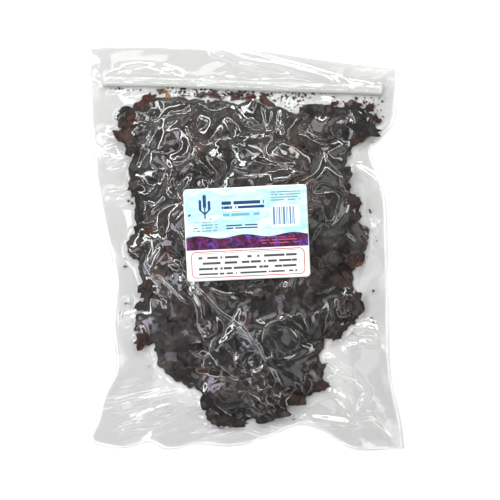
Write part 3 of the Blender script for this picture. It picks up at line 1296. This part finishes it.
# Where crumbs lie between the films: middle and spread in millimetres, how many, and the largest.
CRUMBS = [
    (-52, 129, 12, 4, 70, 3.6), (-30, 128, 14, 4, 120, 3.8), (-6, 127, 14, 4, 120, 4.2),
    (14, 124, 8, 6, 60, 3.2), (33, 125, 12, 5, 90, 2.8), (50, 126, 9, 3, 50, 2.4),
    (66, 128, 9, 0.8, 26, 1.4), (36, 118, 8, 4, 40, 1.6), (86, 122, 10, 3, 26, 1.8),
    (98, 121, 5, 3, 16, 3.2), (108, 118, 8, 5, 30, 2.6), (112, 110, 4, 5, 18, 2.4),
    (-104, 132, 6, 0.8, 16, 2.2), (-93, 131, 4, 0.6, 10, 2.4), (-108, 91, 3, 2, 14, 1.2),
    (-99, -14, 1.6, 5, 9, 3.2), (-92, -24, 1, 1, 2, 2.8), (-94, -52, 6, 8, 22, 1.6),
    (-84, -34, 2, 2, 4, 2.4), (-95, 38, 1.4, 1, 4, 2.6), (103, 29, 2, 1.5, 4, 2.8),
    (105, 12, 5, 16, 18, 1.4), (106, -39, 1, 3, 4, 3.0), (104, -20, 6, 14, 16, 1.3),
    (106, -58, 4, 4, 6, 2.2), (88, -74, 6, 8, 10, 1.5), (70, -92, 8, 10, 14, 1.8),
    (43, -142, 4, 2, 12, 2.2), (75, -125, 16, 14, 18, 1.0), (-54, -134, 9, 8, 10, 1.2),
    (-70, -110, 10, 10, 10, 1.0), (-104, 60, 5, 30, 16, 0.9), (95, 55, 6, 14, 14, 1.1),
    (-100, 105, 6, 10, 10, 1.2), (0, -154, 30, 3, 10, 0.9), (105, 88, 5, 5, 5, 1.6),
]
CRUMB_LEAST = 0.5 * MM
CRUMB_SHARE = 0.8
CRUMB_THICKNESS = 0.3
# Crumbs lie below the zip's own line: its height at the middle, and how much it drops to the right.
CRUMBS_TOP = 133.5 * MM
CRUMBS_SLOPE = 0.03


def crumb_tree(look):
    """Geometry Nodes that put a thin chipped flake, turned and tilted at random, on every point."""
    tree = bpy.data.node_groups.new("crumbs", "GeometryNodeTree")
    face = tree.interface
    face.new_socket("Geometry", in_out="INPUT", socket_type="NodeSocketGeometry")
    for name, value in (("Thickness", CRUMB_THICKNESS), ("Tilt", 0.1), ("Chipping", 0.00035)):
        face.new_socket(name, in_out="INPUT", socket_type="NodeSocketFloat").default_value = value
    face.new_socket("Geometry", in_out="OUTPUT", socket_type="NodeSocketGeometry")

    def put(kind, inputs=(), **settings):
        made = tree.nodes.new(kind)
        for name, value in settings.items():
            setattr(made, name, value)
        for name, value in inputs:
            if isinstance(value, bpy.types.NodeSocket):
                tree.links.new(value, made.inputs[name])
            else:
                made.inputs[name].default_value = value
        return made

    def first(kind, inputs=(), **settings):
        return put(kind, inputs, **settings).outputs[0]

    def vector(operation, value, by):
        name = "Scale" if operation == "SCALE" else 1
        return first("ShaderNodeVectorMath", [(0, value), (name, by)], operation=operation)

    given = put("NodeGroupInput").outputs
    disc = first("GeometryNodeMeshCircle", [("Vertices", 7), ("Radius", 0.5)], fill_type="NGON")
    chip = first("GeometryNodeExtrudeMesh", [("Mesh", disc), ("Offset Scale", given["Thickness"])])
    both = put("GeometryNodeJoinGeometry")
    tree.links.new(first("GeometryNodeFlipFaces", [("Mesh", disc)]), both.inputs[0])
    tree.links.new(chip, both.inputs[0])
    merged = first("GeometryNodeMergeByDistance", [("Geometry", both.outputs[0]), ("Distance", 0.001)])
    size = first("GeometryNodeInputNamedAttribute", [("Name", "size")], data_type="FLOAT")
    shapes = [("Min", (0.5, 0.8, 1.0)), ("Max", (1.0, 1.2, 1.0)), ("Seed", 4)]
    wide = first("FunctionNodeRandomValue", shapes, data_type="FLOAT_VECTOR")
    scale = vector("SCALE", vector("MULTIPLY", wide, (1.0, 1.0, 0.5)), size)
    tilt = first("ShaderNodeMath", [(0, given["Tilt"]), (1, -1.0)], operation="MULTIPLY")
    low = first("ShaderNodeCombineXYZ", [("X", tilt), ("Y", tilt), ("Z", 0.0)])
    high = first("ShaderNodeCombineXYZ", [("X", given["Tilt"]), ("Y", given["Tilt"]), ("Z", 6.283)])
    turns = [("Min", low), ("Max", high), ("Seed", 9)]
    turn = first("FunctionNodeRandomValue", turns, data_type="FLOAT_VECTOR")
    placed = first("GeometryNodeInstanceOnPoints", [
        ("Points", given["Geometry"]), ("Instance", merged), ("Rotation", turn), ("Scale", scale)])
    real = first("GeometryNodeRealizeInstances", [("Geometry", placed)])
    lumps = put("ShaderNodeTexNoise", [("Scale", 1100.0)]).outputs["Color"]
    level = vector("MULTIPLY", vector("SUBTRACT", lumps, (0.5, 0.5, 0.5)), (2.0, 2.0, 0.0))
    shift = vector("SCALE", level, given["Chipping"])
    moved = first("GeometryNodeSetPosition", [("Geometry", real), ("Offset", shift)])
    done = first("GeometryNodeSetMaterial", [("Geometry", moved), ("Material", look)])
    tree.links.new(done, put("NodeGroupOutput").inputs[0])
    return tree


def add_crumbs(grid, ground, table, look):
    """Crumbs of broken frond between the films, round the pile."""
    drawn = np.random.default_rng(SEED + 5)
    bare = ground <= table + FROND_THICKNESS + CLEARANCE
    places, sizes, tones = [], [], []
    for x, y, spread_x, spread_y, count, largest in CRUMBS:
        for _ in range(int(CRUMB_SHARE * count)):
            px, py = (x + drawn.normal() * spread_x * 0.7) * MM, (y + drawn.normal() * spread_y * 0.7) * MM
            i, j = (int((at - low) / grid.step) for at, low in zip((px, py), grid.low))
            size = CRUMB_LEAST + (largest * MM - CRUMB_LEAST) * drawn.uniform() ** 2.2
            tone = drawn.uniform(0.3, 2.3)
            on_grid = 0 < i < grid.shape[0] and 0 < j < grid.shape[1]
            if py < CRUMBS_TOP - CRUMBS_SLOPE * px and on_grid and bare[i, j]:
                places.append((px, py, grid.read(table, px, py) + FILM_THICKNESS + 0.08 * MM))
                sizes.append(size)
                tones.append(tone)
    base = add_mesh("crumb_places", places, [])
    set_attribute(base, "size", sizes)
    set_attribute(base, "tone", tones)
    spread_out = base.modifiers.new("crumbs", "NODES")
    tree = crumb_tree(look)
    spread_out.node_group = tree
    for item in tree.interface.items_tree:
        if item.name == "Thickness":
            spread_out[item.identifier] = CRUMB_THICKNESS
    made = bpy.data.meshes.new_from_object(base.evaluated_get(bpy.context.evaluated_depsgraph_get()))
    bpy.data.objects.remove(base)
    piece = bpy.data.objects.new("dulse_crumbs", made)
    bpy.context.scene.collection.objects.link(piece)
    piece.data.shade_flat()
    on_pouch(piece, "frond")


# Stage, light and camera

# The camera looks straight down from here, and sees this width of the table.
CAMERA = (4.6 * MM, -2.5 * MM, 1.2)
FRAME_WIDTH = 0.4165
SENSOR_WIDTH = 36.0
FLOOR_SIZE = 8.0


def add_stage():
    tree = Tree("pale_floor")
    tree.set(Base_Color=(0.9, 0.9, 0.9, 1.0), Roughness=0.9)
    bpy.ops.mesh.primitive_plane_add(size=FLOOR_SIZE, location=(0, 0, 0))
    floor = bpy.context.object
    floor.name = "floor"
    floor.data.materials.append(tree.material)


def light_place(way, height):
    """Where a light hangs, from its compass direction and its height above the table's edge, in degrees."""
    way, height = math.radians(way), math.radians(height)
    flat = LIGHT_DISTANCE * math.cos(height)
    return flat * math.cos(way), flat * math.sin(way), LIGHT_DISTANCE * math.sin(height)


def add_light(name, place, width, height, power, colour=(1, 1, 1)):
    data = bpy.data.lights.new(name, "AREA")
    data.shape = "RECTANGLE"
    data.size, data.size_y = width, height
    data.energy = power
    data.color = colour
    light = bpy.data.objects.new(name, data)
    light.location = place
    light.rotation_euler = (-Vector(place)).to_track_quat("-Z", "Y").to_euler()
    bpy.context.scene.collection.objects.link(light)


def add_camera():
    data = bpy.data.cameras.new("camera")
    data.sensor_width = SENSOR_WIDTH
    data.lens = SENSOR_WIDTH * CAMERA[2] / FRAME_WIDTH
    camera = bpy.data.objects.new("camera", data)
    camera.location = CAMERA
    bpy.context.scene.collection.objects.link(camera)
    bpy.context.scene.camera = camera


# A ring of low soft lights: how many, height in degrees, size in metres, brightness and how much it varies,
# and the direction of the brightest, which is at the back left.
RING_LIGHTS = 12
RING_HEIGHT = 35
RING_SIZE = (0.57, 0.18)
RING_BRIGHTNESS = 7.4
RING_SWING = 6.4
RING_BRIGHTEST = 125
RING_COLOUR = (0.98, 1.0, 0.955)
# Panels higher up: name, direction and height in degrees, width and height in metres, brightness and colour.
PANELS = [
    ("lilac_panel", 190, 58, 0.50, 0.42, 4.0, (0.90, 0.82, 1.0)),
    ("white_panel", 70, 56, 0.34, 0.28, 7.0, (1.0, 1.0, 0.96)),
    ("dim_panel", 320, 60, 0.55, 0.45, 0.9, (1.0, 1.0, 1.0)),
    ("back_panel", 120, 63, 0.60, 0.40, 2.1, (1.0, 1.0, 1.0)),
    ("front_panel", 250, 62, 0.50, 0.40, 0.7, (1.0, 0.97, 1.0)),
    ("right_panel", 10, 62, 0.50, 0.40, 1.0, (1.0, 1.0, 1.0)),
]
LIGHT_DISTANCE = 1.3
SKY = 0.08


def add_lights():
    world = bpy.data.worlds.new("studio")
    world.use_nodes = True
    world.node_tree.nodes["Background"].inputs["Color"].default_value = (1, 1, 1, 1)
    world.node_tree.nodes["Background"].inputs["Strength"].default_value = SKY
    bpy.context.scene.world = world
    rows = []
    for number in range(RING_LIGHTS):
        way = number * 360 / RING_LIGHTS
        brightness = RING_BRIGHTNESS + RING_SWING * math.cos(math.radians(way - RING_BRIGHTEST))
        rows.append((f"ring_{number + 1:02d}", way, RING_HEIGHT, *RING_SIZE, brightness, RING_COLOUR))
    rows += PANELS
    for name, way, height, width, tall, brightness, colour in rows:
        add_light(name, light_place(way, height), width, tall, brightness * math.pi * width * tall, colour)
    bpy.context.scene.view_settings.view_transform = "Standard"


def main():
    grid = Grid(cad_box, FINE, MARGIN)
    outline = Outline("front_web")
    table = spread(grid.heights(triangles_of("back_web")[1], highest=False), 60)
    ground = table + FILM_THICKNESS
    rim = edge_of_pile(grid)
    dulse = frond_material()
    covered = np.zeros(grid.shape, bool)
    for number, node in enumerate(FROND_NODES):
        frond = Frond(grid, node, rim, table, SEED + 100 * number)
        frond.cover(ground)
        covered[frond.window] |= frond.used
        add_leaves(node.replace("frond", "dulse_frond"), [frond], dulse, node)
    pieces = torn_pieces(grid, ground, rim, covered)
    add_leaves("torn_pieces", pieces, dulse)
    add_flakes(grid, ground, dulse)
    add_crumbs(grid, ground, table, dulse)
    label = Label(grid)
    height, over_pile, steep = film_heights(grid, ground, table, label)
    looks = [wrinkled_film("clear_film", 0.044, 0.11), film_material("front_seal", 0.05, 0.16)]
    looks += [film_material("film_beside_pile", 0.007, 0.3), fanned_film("border_film", 0.05, 0.1)]
    add_film("front_film", "front_web", grid, height, outline, FINE, looks, 1 - over_pile, steep,
             busy=busy_film(grid, over_pile))
    creases = Creases(grid, height, label)
    creases.add_all()
    creases.finish(film_material("creased_film", 0.06, 0.12, 0.05 * MM))
    looks = [film_material("back_film", 0.13, 0.08), film_material("back_seal", 0.14, 0.16)]
    add_film("back_film", "back_web", grid, table + FILM_THICKNESS, outline, COARSE, looks)
    label.add(label_material())
    add_zip(zip_plastic())
    add_stage()
    add_lights()
    add_camera()


main()
